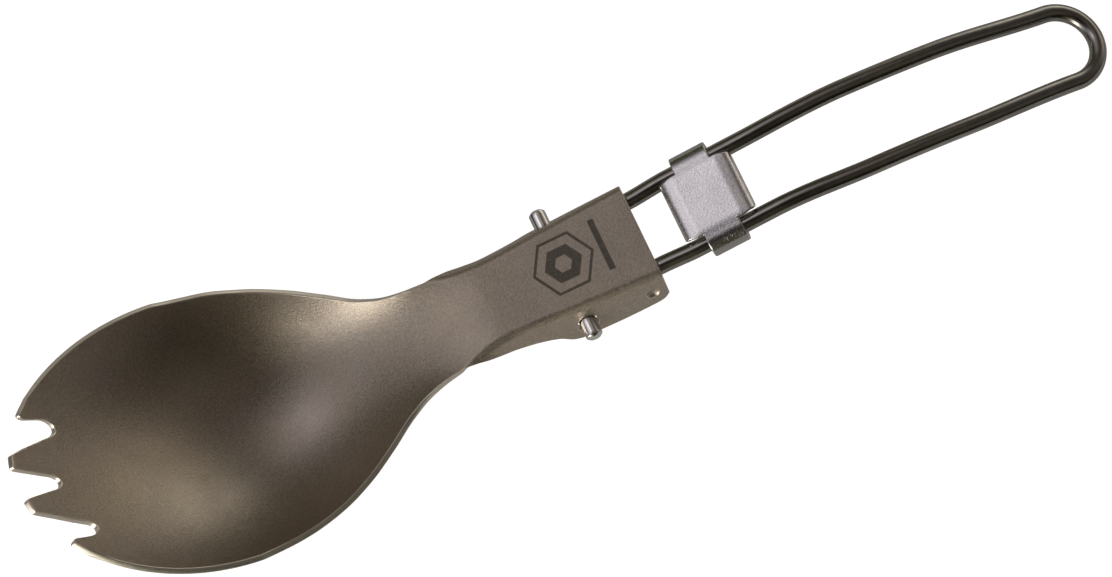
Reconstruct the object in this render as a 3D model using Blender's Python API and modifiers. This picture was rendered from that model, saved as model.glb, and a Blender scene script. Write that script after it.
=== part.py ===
"""Folding camping spork: a stamped sheet-metal head (bowl, four tines, neck and U-channel), a bent wire handle whose
out-turned ends are the hinge pins, and a stamped lock slider that runs on the two wire legs.

The head points along -X and the handle along +X. +Z is up. The object stands on the bottom of the bowl and on the
loop end of the handle. Lengths below are in millimetres, in a design datum at the middle of the channel's rear edge,
on its top face. DATUM_X and DATUM_Z place that datum in the part's frame, in which Z = 0 is the surface that it stands on."""

import math

import bmesh
import bpy
from mathutils import Vector

MM = 0.001

# Datum
DATUM_X = 10.244
DATUM_Z = 11.88

# Sheet metal head
SHEET = 0.9  # thickness
NOSE_LENGTH = 25.0  # from the widest place of the bowl to the tips of the middle tines
BOWL_HALF_WIDTH = 19.7
WIDEST_X = -66.7
NOSE_CORNER = math.radians(37)  # where the side rim hands over to the front edge, as an angle of the nose ellipse
BOTTOM_X, BOTTOM_Z = -58.0, -11.0  # deepest point of the inner face
FRONT_RISE = 0.0266  # parabola of the centre line in front of the deepest point, 1/mm
SECTION_MIX = 0.75  # share of the round term in the bowl's cross-section; the rest is a steeper quartic
CHANNEL_FRONT_X = -23.0  # where the neck becomes flat
FLANGE_START_X = -31.0
FLANGE_FULL_X = -27.0  # from here back the flange follows its table
BEND_RADIUS = 1.4  # outer radius of the channel's two folds
# stations along X: (x, half width of the rim or of the channel's top, rise of the rim over the centre line)
SIDE = (
    (-66.7, 19.7, 12.7), (-60.0, 18.8, 11.9), (-54.5, 17.2, 9.9), (-49.5, 14.9, 7.5), (-44.8, 12.05, 5.0),
    (-40.5, 9.3, 2.8), (-37.0, 7.85, 1.75), (-34.0, 7.25, 1.2), (-31.0, 6.95, 0.7), (-28.0, 6.3, 0.3),
    (-25.4, 6.05, 0.1), (-22.4, 5.95, 0.0), (-12.0, 6.5, 0.0), (0.0, 7.2, 0.0),
)  # fmt: skip
# stations of the flange: (x, depth of its lower edge below the top face, flare outward from vertical in degrees)
FLANGE = (
    (-31.0, 0.0, 90.0), (-28.0, 0.9, 48.0), (-25.3, 2.2, 29.0), (-22.4, 3.1, 23.0), (-19.5, 3.8, 22.0),
    (-16.8, 4.8, 21.0), (-14.9, 6.2, 20.5), (-13.4, 6.6, 20.0), (-8.0, 6.5, 19.0), (-2.0, 6.1, 17.5), (-0.9, 5.8, 17.2), (0.0, 4.9, 17.0),
)  # fmt: skip

# Tines: slots cut from above, as (x, y) of the root's centre, its radius, and where each edge crosses x = TIP_X
TIP_X = -91.9
MIDDLE_SLOT = dict(root=(-88.35, 0.0), radius=1.15, inner=-2.45, outer=2.45)
SIDE_SLOT = dict(root=(-86.5, 7.85), radius=1.25, inner=4.05, outer=9.5)
TIP_ROUND = 0.55
SLOT_REACH = 2.2  # of a slot's cutter past each face of the sheet

# Hinge
PIN_X, PIN_Z = -12.2, -3.95
HOLE_RADIUS = 1.55
PIN_TIP_Y = 10.3
DIMPLE = dict(x=-2.2, depth=3.5, radius=1.3, sink=0.45)

# Wire handle
WIRE_RADIUS = 1.25
LEG_ANGLE = 7.4  # of the straight run over the channel's top face, degrees
LEG_Y_IN_CHANNEL = 5.3
LEG_Y = 5.6  # under the slider
LEG_Y_WIDE = 6.15
CORNER_RADIUS = 1.9  # from pin to leg
STRAIGHT_END = 31.0  # along the leg from the pin's axis
KNEE_END, KNEE_ANGLE = 39.0, -3.0
ARC_RATE = 0.53  # degrees of droop for each millimetre after the knee
LAST_ANGLE = -20.0
LOOP_RADIUS = 5.55
LOOP_CENTRE_X = 65.1

# Lock slider
SLIDER_SHEET = 0.7
SLIDER_AT = 23.05  # its middle, along the leg from the pin's axis
SLIDER_GAP = 0.3  # to the wire
PLATE_HALF_WIDTH = 4.85
PLATE_HALF_LENGTH = 4.3
TAB_HALF_LENGTH = 2.75
TAB_WRAP = 205.0  # degrees round the wire
LIP_RADIUS = 0.9
LIP_HALF_WIDTH = 3.85  # at its lower edge
CORNER_START = 3.31
LIP_TOP_U, LIP_TOP_HALF_WIDTH = 5.24, 4.55  # where the lip starts to run in
LIP_DROP = 0.7  # straight part below the lip's bend


# ---------------------------------------------------------------- helpers


def smooth_table(table, column):
    """A function of x that runs smoothly through a column of the table, with no overshoot (monotone cubic)."""
    xs = [row[0] for row in table]
    ys = [row[column] for row in table]
    steps = [(ys[i + 1] - ys[i]) / (xs[i + 1] - xs[i]) for i in range(len(xs) - 1)]
    slopes = [steps[0]]
    for i in range(1, len(steps)):
        before, after = steps[i - 1], steps[i]
        slopes.append(0.0 if before * after <= 0 else 2 * before * after / (before + after))
    slopes.append(steps[-1])

    def value(x):
        if x <= xs[0]:
            return ys[0]
        if x >= xs[-1]:
            return ys[-1]
        i = max(k for k in range(len(xs) - 1) if xs[k] <= x)
        width = xs[i + 1] - xs[i]
        t = (x - xs[i]) / width
        return (
            ys[i] * (1 + 2 * t) * (1 - t) ** 2
            + slopes[i] * width * t * (1 - t) ** 2
            + ys[i + 1] * t * t * (3 - 2 * t)
            + slopes[i + 1] * width * t * t * (t - 1)
        )

    return value


def smooth_step(t):
    t = min(1.0, max(0.0, t))
    return t * t * (3 - 2 * t)


def to_frame(x, y, z):
    return Vector(((x + DATUM_X) * MM, y * MM, (z + DATUM_Z) * MM))


def new_material(name, colour, metallic, roughness):
    material = bpy.data.materials.new(name)
    material.use_nodes = True
    shader = material.node_tree.nodes["Principled BSDF"]
    shader.inputs["Base Color"].default_value = (*colour, 1)
    shader.inputs["Metallic"].default_value = metallic
    shader.inputs["Roughness"].default_value = roughness
    material.diffuse_color = (*colour, 1)
    return material


def new_object(name, mesh, collection, material=None):
    obj = bpy.data.objects.new(name, mesh)
    collection.objects.link(obj)
    if material:
        mesh.materials.append(material)
    return obj


def mesh_from(bm, name):
    mesh = bpy.data.meshes.new(name)
    bm.to_mesh(mesh)
    bm.free()
    return mesh


def move_origin(obj, origin):
    """Puts the object's origin at a point, leaving its shape where it is."""
    for vertex in obj.data.vertices:
        vertex.co -= origin
    obj.location = origin


# ---------------------------------------------------------------- head

half_width = smooth_table(SIDE, 1)
rim_rise = smooth_table(SIDE, 2)
flange_depth = smooth_table(FLANGE, 1)
flange_flare = smooth_table(FLANGE, 2)


def centre_height(x):
    if x <= BOTTOM_X:
        return BOTTOM_Z + FRONT_RISE * (x - BOTTOM_X) ** 2
    if x >= CHANNEL_FRONT_X:
        return 0.0
    return BOTTOM_Z * (0.5 + 0.5 * math.cos(math.pi * (x - BOTTOM_X) / (CHANNEL_FRONT_X - BOTTOM_X)))


def dish_height(x, y):
    """The inner face of the bowl and the top face of the neck, as a height over x and y."""
    t = abs(y) / half_width(x)
    return centre_height(x) + rim_rise(x) * (SECTION_MIX * t * t + (1 - SECTION_MIX) * t**4)


def dish_normal(x, y):
    step = 0.02
    along = (dish_height(x + step, y) - dish_height(x - step, y)) / (2 * step)
    across = (dish_height(x, y + step) - dish_height(x, y - step)) / (2 * step)
    return Vector((-along, -across, 1.0)).normalized()


def channel_section(x):
    """Length of the flat half, of the fold's arc and of the flange, and the fold's angle, at a station."""

    def straight_part(x, turn):
        return max(0.0, flange_depth(x) - BEND_RADIUS * (1 - math.cos(turn))) / max(math.sin(turn), 0.05)

    turn = math.radians(90 - flange_flare(x))
    flat = half_width(x) - BEND_RADIUS * math.tan(turn / 2)
    if x >= FLANGE_FULL_X:
        return flat, BEND_RADIUS * turn, straight_part(x, turn), turn
    # in front of this, the flange's length grows smoothly from nothing, so that the rim has no step
    grown = max(0.0, (x - FLANGE_START_X) / (FLANGE_FULL_X - FLANGE_START_X)) ** 1.6
    full = straight_part(FLANGE_FULL_X, math.radians(90 - flange_flare(FLANGE_FULL_X)))
    return flat, BEND_RADIUS * turn, full * grown, turn


def section_point(x, share):
    """A point of the channel's section by its share, 0 to 1, of the half's columns."""
    flat, arc, flange, turn = channel_section(x)
    total = flat + arc + flange
    # columns: the first half on the flat, a quarter on the fold and a quarter on the flange
    if share <= 0.5:
        folded = flat * share / 0.5
    elif share <= 0.75:
        folded = flat + arc * (share - 0.5) / 0.25
    else:
        folded = flat + arc + flange * (share - 0.75) / 0.25
    even = smooth_step((x - (CHANNEL_FRONT_X - 1)) / (FLANGE_START_X - 4 - CHANNEL_FRONT_X))
    s = folded * (1 - even) + total * share * even
    if s <= flat:
        return s, dish_height(x, s)
    edge = dish_height(x, flat)
    angle = min(turn, (s - flat) / BEND_RADIUS)
    y = flat + BEND_RADIUS * math.sin(angle)
    z = edge - BEND_RADIUS * (1 - math.cos(angle))
    rest = max(0.0, s - flat - arc)
    return y + rest * math.cos(turn), z - rest * math.sin(turn)


def head_point(station, share):
    """A point of the head's upper face. Stations 0 to 1 run over the nose, and 1 to 2 from there to the rear edge."""
    side = abs(share)
    sign = -1 if share < 0 else 1
    if station < 1:
        angle = NOSE_CORNER + (math.pi / 2 - NOSE_CORNER) * station
        rim_x = WIDEST_X - NOSE_LENGTH * math.cos(angle)
        rim_y = BOWL_HALF_WIDTH * math.sin(angle)
        centre_x = WIDEST_X - NOSE_LENGTH * (1 - station)
        bow = (math.cos(NOSE_CORNER * side) - math.cos(NOSE_CORNER)) / (1 - math.cos(NOSE_CORNER))
        x = rim_x + (centre_x - rim_x) * bow
        along_nose = math.sin(NOSE_CORNER * side) / math.sin(NOSE_CORNER)
        y = rim_y * (along_nose * (1 - station) + side * station)
        return x, sign * y, dish_height(x, y)
    x = WIDEST_X * (2 - station)
    if x <= FLANGE_START_X:
        y = half_width(x) * side
        return x, sign * y, dish_height(x, y)
    y, z = section_point(x, side)
    return x, sign * y, z


def head_stations():
    nose = [i / 17 for i in range(17)]
    body = [WIDEST_X, -63.5, -60.3, -57, -53.8, -50.6, -47.4, -44.6, -42.2, -40, -37.8, -35.6, -33.4, -31, -29.2, -27.6]
    body += [-26.2, -24.8, -23.4, -22.2, -21, -19.5, -18, -16.4, -15, -13.6, -11, -8, -5, -2.2, -0.9, 0]
    return nose + [2 - x / WIDEST_X for x in body]


def slot_cutter(name, root, radius, inner, outer, collection):
    """A slot with a round root and straight edges. Where an edge meets the nose, it turns outward and rounds the tine's tip."""

    def nose_x(y):
        return WIDEST_X - NOSE_LENGTH * math.sqrt(max(0.0, 1 - (y / BOWL_HALF_WIDTH) ** 2))

    def edge(tip_y, side):
        """From the tangent point on the root to beyond the nose, on one side of the slot."""
        dx, dy = TIP_X - root[0], tip_y - root[1]
        distance = math.hypot(dx, dy)
        lean = math.asin(radius / distance)
        heading = math.atan2(dy, dx)
        # the tangent from the edge's end to the root's circle
        tangent = heading + math.pi + lean * (1 if side > 0 else -1)
        touch = (
            TIP_X + math.cos(tangent) * math.sqrt(distance**2 - radius**2),
            tip_y + math.sin(tangent) * math.sqrt(distance**2 - radius**2),
        )
        ux, uy = TIP_X - touch[0], tip_y - touch[1]
        length = math.hypot(ux, uy)
        ux, uy = ux / length, uy / length
        # where this line crosses the nose
        at = 0.0
        for _ in range(60):
            at += (touch[0] + ux * at) - nose_x(touch[1] + uy * at) if at < 30 else 0
        cross = Vector((touch[0] + ux * at, touch[1] + uy * at))
        # the nose's own direction there, pointing away from the slot
        y = cross.y
        slope = NOSE_LENGTH * (y / BOWL_HALF_WIDTH**2) / math.sqrt(1 - (y / BOWL_HALF_WIDTH) ** 2)
        away = Vector((slope, 1.0)).normalized() * (1 if side > 0 else -1)
        u = Vector((ux, uy))
        corner = math.acos(max(-1, min(1, u.dot(-away))))  # angle of the tine's own corner
        reach = TIP_ROUND / math.tan(corner / 2)
        start = cross - u * reach
        end = cross + away * reach
        bisector = (-u + away).normalized()
        centre = cross + bisector * (TIP_ROUND / math.sin(corner / 2))
        a0 = math.atan2(start.y - centre.y, start.x - centre.x)
        a1 = math.atan2(end.y - centre.y, end.x - centre.x)
        turn = (a1 - a0 + math.pi) % (2 * math.pi) - math.pi
        arc = [
            centre + TIP_ROUND * Vector((math.cos(a0 + turn * k / 5), math.sin(a0 + turn * k / 5)))
            for k in range(6)
        ]
        beyond = end + away * 0.25 + Vector((-0.25, 0))
        far = Vector((TIP_X - 3, beyond.y))
        return touch, arc + [beyond, far]

    touch_a, edge_a = edge(outer, 1)
    touch_b, edge_b = edge(inner, -1)
    a0 = math.atan2(touch_a[1] - root[1], touch_a[0] - root[0])
    a1 = math.atan2(touch_b[1] - root[1], touch_b[0] - root[0])
    while a1 > a0:
        a1 -= 2 * math.pi
    if a0 - a1 > 1.5 * math.pi:
        a1 += 2 * math.pi
    root_arc = [
        Vector((root[0] + radius * math.cos(a0 + (a1 - a0) * k / 8), root[1] + radius * math.sin(a0 + (a1 - a0) * k / 8)))
        for k in range(9)
    ]
    outline = list(reversed(edge_a)) + root_arc + edge_b
    # the blank is cut flat and then formed, so the walls of the slot stay square to the sheet
    bm = bmesh.new()
    above, below = [], []
    for p in outline:
        on_sheet = Vector((p[0], p[1], dish_height(p[0], p[1])))
        normal = dish_normal(p[0], p[1])
        above.append(bm.verts.new(to_frame(*(on_sheet + normal * SLOT_REACH))))
        below.append(bm.verts.new(to_frame(*(on_sheet - normal * (SLOT_REACH + SHEET)))))
    bm.faces.new(above)
    bm.faces.new(list(reversed(below)))
    for i in range(len(outline)):
        j = (i + 1) % len(outline)
        bm.faces.new((above[j], above[i], below[i], below[j]))
    bmesh.ops.triangulate(bm, faces=[face for face in bm.faces if len(face.verts) > 4])
    bmesh.ops.recalc_face_normals(bm, faces=bm.faces)
    return new_object(name, mesh_from(bm, name), collection)


def cut(obj, cutter, operation="DIFFERENCE"):
    modifier = obj.modifiers.new(cutter.name, "BOOLEAN")
    modifier.operation = operation
    modifier.solver = "EXACT"
    modifier.object = cutter
    cutter.hide_render = True
    cutter.display_type = "WIRE"


def make_head(parts, cutters, material):
    stations = head_stations()
    columns = 12
    bm = bmesh.new()
    bmesh.ops.create_grid(bm, x_segments=len(stations) - 1, y_segments=2 * columns, size=1.0)
    for vertex in bm.verts:
        i = round((vertex.co.x + 1) / 2 * (len(stations) - 1))
        share = round(vertex.co.y * columns) / columns
        vertex.co = to_frame(*head_point(stations[i], share))
    bmesh.ops.recalc_face_normals(bm, faces=bm.faces)
    if sum(face.normal.z for face in bm.faces) < 0:
        bmesh.ops.reverse_faces(bm, faces=bm.faces)
    mesh = mesh_from(bm, "spork_head")
    head = new_object("spork_head", mesh, parts, material)
    mesh.shade_smooth()
    mesh.set_sharp_from_angle(angle=math.radians(35))
    sheet = head.modifiers.new("Sheet", "SOLIDIFY")
    sheet.thickness = SHEET * MM
    sheet.offset = -1
    sheet.use_even_offset = True

    cut(head, slot_cutter("slot_middle", collection=cutters, **MIDDLE_SLOT))
    side = SIDE_SLOT
    cut(head, slot_cutter("slot_left", collection=cutters, **side))
    mirrored = dict(root=(side["root"][0], -side["root"][1]), radius=side["radius"], inner=-side["outer"], outer=-side["inner"])
    cut(head, slot_cutter("slot_right", collection=cutters, **mirrored))

    bm = bmesh.new()
    bmesh.ops.create_cone(
        bm, cap_ends=True, segments=28, radius1=HOLE_RADIUS * MM, radius2=HOLE_RADIUS * MM, depth=26 * MM
    )
    hole = new_object("pin_hole", mesh_from(bm, "pin_hole"), cutters)
    hole.rotation_euler = (math.pi / 2, 0, 0)
    hole.location = to_frame(PIN_X, 0, PIN_Z)
    cut(head, hole)

    # the detent dimples, pressed inward near the rear of each flange: a bump inside and a hollow outside
    x, depth = DIMPLE["x"], DIMPLE["depth"]
    flare = math.radians(flange_flare(x))
    flat, arc, flange, turn = channel_section(x)
    face_y = flat + BEND_RADIUS * math.sin(turn)
    face_z = -BEND_RADIUS * (1 - math.cos(turn))
    y = face_y + (depth + face_z) * math.tan(flare)
    for sign, label in ((1, "left"), (-1, "right")):
        normal = Vector((0, sign * math.cos(flare), math.sin(flare)))
        on_face = to_frame(x, sign * y, -depth)
        for what, shift, operation in (
            ("bump", -SHEET - DIMPLE["sink"] + DIMPLE["radius"], "UNION"),
            ("hollow", DIMPLE["radius"] - DIMPLE["sink"], "DIFFERENCE"),
        ):
            bm = bmesh.new()
            radius = DIMPLE["radius"] * MM
            if what == "bump":
                # a cap that ends inside the sheet
                bmesh.ops.create_cone(
                    bm, cap_ends=True, segments=20, radius1=0.35 * MM, radius2=0.95 * MM, depth=(DIMPLE["sink"] + 0.3) * MM
                )
                centre = on_face - normal * (SHEET + (DIMPLE["sink"] - 0.3) / 2) * MM
            else:
                bmesh.ops.create_uvsphere(bm, u_segments=20, v_segments=12, radius=radius)
                centre = on_face + normal * shift * MM
            tool = new_object(f"dimple_{what}_{label}", mesh_from(bm, f"dimple_{what}_{label}"), cutters)
            tool.rotation_mode = "QUATERNION"
            tool.rotation_quaternion = normal.to_track_quat("Z", "Y")
            tool.location = centre
            cut(head, tool, operation)
    return head


# ---------------------------------------------------------------- wire handle


def leg_angle(s):
    """Slope of the leg, in degrees, at a distance along it from the pin's axis."""
    if s <= STRAIGHT_END:
        return LEG_ANGLE
    if s <= KNEE_END:
        return LEG_ANGLE + (KNEE_ANGLE - LEG_ANGLE) * (s - STRAIGHT_END) / (KNEE_END - STRAIGHT_END)
    return max(LAST_ANGLE, KNEE_ANGLE - ARC_RATE * (s - KNEE_END))


def leg_line(s_end, step=0.25):
    """(s, x, z) along the leg's middle from the pin's axis."""
    x, z, s = PIN_X, PIN_Z, 0.0
    line = [(s, x, z)]
    while s < s_end - 1e-9:
        angle = math.radians(leg_angle(s + step / 2))
        x += step * math.cos(angle)
        z += step * math.sin(angle)
        s += step
        line.append((s, x, z))
    return line


LEG = leg_line(90.0)


def on_leg(s):
    i = min(len(LEG) - 2, int(s / 0.25))
    t = (s - LEG[i][0]) / 0.25
    return LEG[i][1] + (LEG[i + 1][1] - LEG[i][1]) * t, LEG[i][2] + (LEG[i + 1][2] - LEG[i][2]) * t


def leg_side(x):
    """Distance of the leg's middle from the centre plane."""
    y = LEG_Y_IN_CHANNEL + (LEG_Y - LEG_Y_IN_CHANNEL) * smooth_step((x - 0.2) / 3.2)
    y += (LEG_Y_WIDE - LEG_Y) * smooth_step((x - 18) / 16)
    return y + (LOOP_RADIUS - LEG_Y_WIDE) * smooth_step((x - 48) / (LOOP_CENTRE_X - 48))


def wire_path():
    """The middle line of one half, from the pin's tip to the end of the loop, as (point, radius scale)."""
    slope = math.radians(LEG_ANGLE)
    path = []
    for y, scale in ((PIN_TIP_Y, 0.62), (PIN_TIP_Y - 0.12, 0.82), (PIN_TIP_Y - 0.35, 0.95), (PIN_TIP_Y - 0.7, 1.0), (8.6, 1.0)):
        path.append(((PIN_X, y, PIN_Z), scale))
    corner_y = LEG_Y_IN_CHANNEL + CORNER_RADIUS
    for k in range(9):
        a = math.radians(90 * k / 8)
        along = CORNER_RADIUS * (1 - math.cos(a))
        path.append(
            ((PIN_X + along * math.cos(slope), corner_y - CORNER_RADIUS * math.sin(a), PIN_Z + along * math.sin(slope)), 1.0)
        )
    s_loop = next(s for s, x, _ in LEG if x >= LOOP_CENTRE_X)
    s = 4.0
    stops = []
    while s < s_loop - 1.5:
        stops.append(s)
        s += 3.0 if s < STRAIGHT_END else 2.4
    for s in stops + [s_loop]:
        x, z = on_leg(s)
        path.append(((x, leg_side(x), z), 1.0))
    # the end of the loop is a half circle that keeps the slope of the legs
    x0, z0 = on_leg(s_loop)
    slope = math.radians(leg_angle(s_loop))
    for k in range(1, 9):
        a = math.radians(90 * k / 8)
        along = LOOP_RADIUS * math.sin(a)
        path.append(((x0 + along * math.cos(slope), LOOP_RADIUS * math.cos(a), z0 + along * math.sin(slope)), 1.0))
    return path


def make_wire(parts, material):
    half = wire_path()
    points = half + [((x, -y, z), scale) for (x, y, z), scale in reversed(half[:-1])]
    curve = bpy.data.curves.new("wire_handle", "CURVE")
    curve.dimensions = "3D"
    curve.twist_mode = "MINIMUM"
    spline = curve.splines.new("POLY")
    spline.points.add(len(points) - 1)
    origin = to_frame(PIN_X, 0, PIN_Z)
    for point, (co, scale) in zip(spline.points, points):
        place = to_frame(*co) - origin
        point.co = (place.x, place.y, place.z, 1)
        point.radius = scale
    curve.bevel_depth = WIRE_RADIUS * MM
    curve.bevel_resolution = 4
    curve.use_fill_caps = True
    spline.use_smooth = True
    curve.materials.append(material)
    wire = bpy.data.objects.new("wire_handle", curve)
    wire.location = origin
    parts.objects.link(wire)
    return wire


# ---------------------------------------------------------------- lock slider


def slider_point(u, v):
    """The middle surface of the slider's sheet, from its flat pattern: u along the legs, v across them.
    Returns (along the leg, across, above the wire's middle)."""
    level = WIRE_RADIUS + SLIDER_GAP + SLIDER_SHEET / 2
    if abs(v) > LEG_Y:
        angle = (abs(v) - LEG_Y) / level
        return u, math.copysign(LEG_Y + level * math.sin(angle), v), level * math.cos(angle)
    if abs(u) > PLATE_HALF_LENGTH:
        angle = min(math.pi / 2, (abs(u) - PLATE_HALF_LENGTH) / LIP_RADIUS)
        rest = max(0.0, abs(u) - PLATE_HALF_LENGTH - LIP_RADIUS * math.pi / 2)
        along = PLATE_HALF_LENGTH + LIP_RADIUS * math.sin(angle)
        return math.copysign(along, u), v, level - LIP_RADIUS * (1 - math.cos(angle)) - rest
    return u, v, level


def half_width_at(u):
    """The plate's half width along it: its corners are eased, and the lip then runs in to pass between the legs."""
    if u <= LIP_TOP_U:
        return PLATE_HALF_WIDTH + (LIP_TOP_HALF_WIDTH - PLATE_HALF_WIDTH) * smooth_step((u - CORNER_START) / (LIP_TOP_U - CORNER_START))
    lip_end = PLATE_HALF_LENGTH + LIP_RADIUS * math.pi / 2 + LIP_DROP
    return LIP_TOP_HALF_WIDTH + (LIP_HALF_WIDTH - LIP_TOP_HALF_WIDTH) * (u - LIP_TOP_U) / (lip_end - LIP_TOP_U)


def make_slider(parts, material):
    lip_end = PLATE_HALF_LENGTH + LIP_RADIUS * math.pi / 2 + LIP_DROP
    us = [0.0, 1.4, TAB_HALF_LENGTH, 3.3, 3.8, PLATE_HALF_LENGTH]
    us += [PLATE_HALF_LENGTH + LIP_RADIUS * math.pi / 2 * k / 5 for k in range(1, 6)] + [lip_end]
    us = [-u for u in reversed(us[1:])] + us
    tab_end = LEG_Y + (WIRE_RADIUS + SLIDER_GAP + SLIDER_SHEET / 2) * math.radians(TAB_WRAP)
    vs = [0.0, 1.3, 2.6, 3.7, PLATE_HALF_WIDTH, LEG_Y]
    vs += [LEG_Y + (tab_end - LEG_Y) * k / 12 for k in range(1, 13)]
    vs = [-v for v in reversed(vs[1:])] + vs
    bm = bmesh.new()
    bmesh.ops.create_grid(bm, x_segments=len(us) - 1, y_segments=len(vs) - 1, size=1.0)
    flat = {}
    for vertex in bm.verts:
        i = round((vertex.co.x + 1) / 2 * (len(us) - 1))
        j = round((vertex.co.y + 1) / 2 * (len(vs) - 1))
        flat[vertex] = (us[i], vs[j])
    outside = [
        face
        for face in bm.faces
        if max(abs(flat[v][0]) for v in face.verts) > TAB_HALF_LENGTH + 1e-6
        and max(abs(flat[v][1]) for v in face.verts) > PLATE_HALF_WIDTH + 1e-6
    ]
    bmesh.ops.delete(bm, geom=outside, context="FACES")
    slope = math.radians(LEG_ANGLE)
    mid_x, mid_z = on_leg(SLIDER_AT)
    for vertex in bm.verts:
        u, v = flat[vertex]
        v *= half_width_at(abs(u)) / PLATE_HALF_WIDTH if abs(u) > CORNER_START else 1
        a, y, b = slider_point(u, v)
        vertex.co = to_frame(mid_x + a * math.cos(slope) - b * math.sin(slope), y, mid_z + a * math.sin(slope) + b * math.cos(slope))
    bmesh.ops.recalc_face_normals(bm, faces=bm.faces)
    mesh = mesh_from(bm, "lock_slider")
    slider = new_object("lock_slider", mesh, parts, material)
    mesh.shade_smooth()
    mesh.set_sharp_from_angle(angle=math.radians(40))
    move_origin(slider, to_frame(mid_x, 0, mid_z))
    sheet = slider.modifiers.new("Sheet", "SOLIDIFY")
    sheet.thickness = SLIDER_SHEET * MM
    sheet.offset = 0
    sheet.use_even_offset = True
    return slider


# ---------------------------------------------------------------- assembly


def main():
    for obj in list(bpy.data.objects):
        bpy.data.objects.remove(obj, do_unlink=True)
    parts = bpy.data.collections.new("folding_spork")
    cutters = bpy.data.collections.new("cutters")
    bpy.context.scene.collection.children.link(parts)
    bpy.context.scene.collection.children.link(cutters)
    cutters.hide_render = True

    titanium = new_material("sandblasted_titanium", (0.27, 0.235, 0.2), 1.0, 0.42)
    wire_steel = new_material("polished_wire", (0.42, 0.41, 0.39), 1.0, 0.18)
    clip_steel = new_material("satin_clip_steel", (0.62, 0.6, 0.61), 1.0, 0.32)

    make_head(parts, cutters, titanium)
    wire = make_wire(parts, wire_steel)
    slider = make_slider(parts, clip_steel)

    # the slider rides on the wire handle, and the handle turns about its pins
    world = slider.location.copy()
    slider.parent = wire
    slider.location = world - wire.location


main()
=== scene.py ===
"""Looks for the folding spork: fine meshes for the head, the wire handle and the lock slider, made from the same
dimensions as the CAD part, with procedural metals, a pale floor, soft studio light and the camera."""

import math

import bmesh
import bpy
from mathutils import Matrix, Vector


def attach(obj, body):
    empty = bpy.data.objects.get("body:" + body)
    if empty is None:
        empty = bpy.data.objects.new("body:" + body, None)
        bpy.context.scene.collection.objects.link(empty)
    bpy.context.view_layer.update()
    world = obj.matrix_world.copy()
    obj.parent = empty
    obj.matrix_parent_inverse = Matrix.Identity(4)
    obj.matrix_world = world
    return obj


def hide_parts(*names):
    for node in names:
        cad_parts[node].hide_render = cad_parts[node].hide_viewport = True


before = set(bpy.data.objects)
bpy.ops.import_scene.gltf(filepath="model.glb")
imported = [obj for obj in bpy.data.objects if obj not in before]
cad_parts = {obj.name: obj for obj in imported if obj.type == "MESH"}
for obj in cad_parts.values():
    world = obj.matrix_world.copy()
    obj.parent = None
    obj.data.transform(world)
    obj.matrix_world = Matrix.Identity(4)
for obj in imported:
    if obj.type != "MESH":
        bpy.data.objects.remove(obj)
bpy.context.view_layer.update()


MM = 0.001

# Datum
DATUM_X = 10.244
DATUM_Z = 11.88

# Sheet metal head
SHEET = 0.9  # thickness
NOSE_LENGTH = 25.0  # from the widest place of the bowl to the tips of the middle tines
BOWL_HALF_WIDTH = 19.7
WIDEST_X = -66.7
NOSE_CORNER = math.radians(37)  # where the side rim hands over to the front edge, as an angle of the nose ellipse
BOTTOM_X, BOTTOM_Z = -58.0, -11.0  # deepest point of the inner face
FRONT_RISE = 0.0266  # parabola of the centre line in front of the deepest point, 1/mm
SECTION_MIX = 0.75  # share of the round term in the bowl's cross-section; the rest is a steeper quartic
CHANNEL_FRONT_X = -23.0  # where the neck becomes flat
FLANGE_START_X = -31.0
FLANGE_FULL_X = -27.0  # from here back the flange follows its table
BEND_RADIUS = 1.4  # outer radius of the channel's two folds
# stations along X: (x, half width of the rim or of the channel's top, rise of the rim over the centre line)
SIDE = (
    (-66.7, 19.7, 12.7), (-60.0, 18.8, 11.9), (-54.5, 17.2, 9.9), (-49.5, 14.9, 7.5), (-44.8, 12.05, 5.0),
    (-40.5, 9.3, 2.8), (-37.0, 7.85, 1.75), (-34.0, 7.25, 1.2), (-31.0, 6.95, 0.7), (-28.0, 6.3, 0.3),
    (-25.4, 6.05, 0.1), (-22.4, 5.95, 0.0), (-12.0, 6.5, 0.0), (0.0, 7.2, 0.0),
)  # fmt: skip
# stations of the flange: (x, depth of its lower edge below the top face, flare outward from vertical in degrees)
FLANGE = (
    (-31.0, 0.0, 90.0), (-28.0, 0.9, 48.0), (-25.3, 2.2, 29.0), (-22.4, 3.1, 23.0), (-19.5, 3.8, 22.0),
    (-16.8, 4.8, 21.0), (-14.9, 6.2, 20.5), (-13.4, 6.6, 20.0), (-8.0, 6.5, 19.0), (-2.0, 6.1, 17.5), (-0.9, 5.8, 17.2), (0.0, 4.9, 17.0),
)  # fmt: skip

# Tines: slots cut from above, as (x, y) of the root's centre, its radius, and where each edge crosses x = TIP_X
TIP_X = -91.9
MIDDLE_SLOT = dict(root=(-88.35, 0.0), radius=1.15, inner=-2.45, outer=2.45)
SIDE_SLOT = dict(root=(-86.5, 7.85), radius=1.25, inner=4.05, outer=9.5)
TIP_ROUND = 0.55
SLOT_REACH = 2.2  # of a slot's cutter past each face of the sheet

# Hinge
PIN_X, PIN_Z = -12.2, -3.95
HOLE_RADIUS = 1.55
PIN_TIP_Y = 10.3
DIMPLE = dict(x=-2.2, depth=3.5, radius=1.3, sink=0.45)

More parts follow.
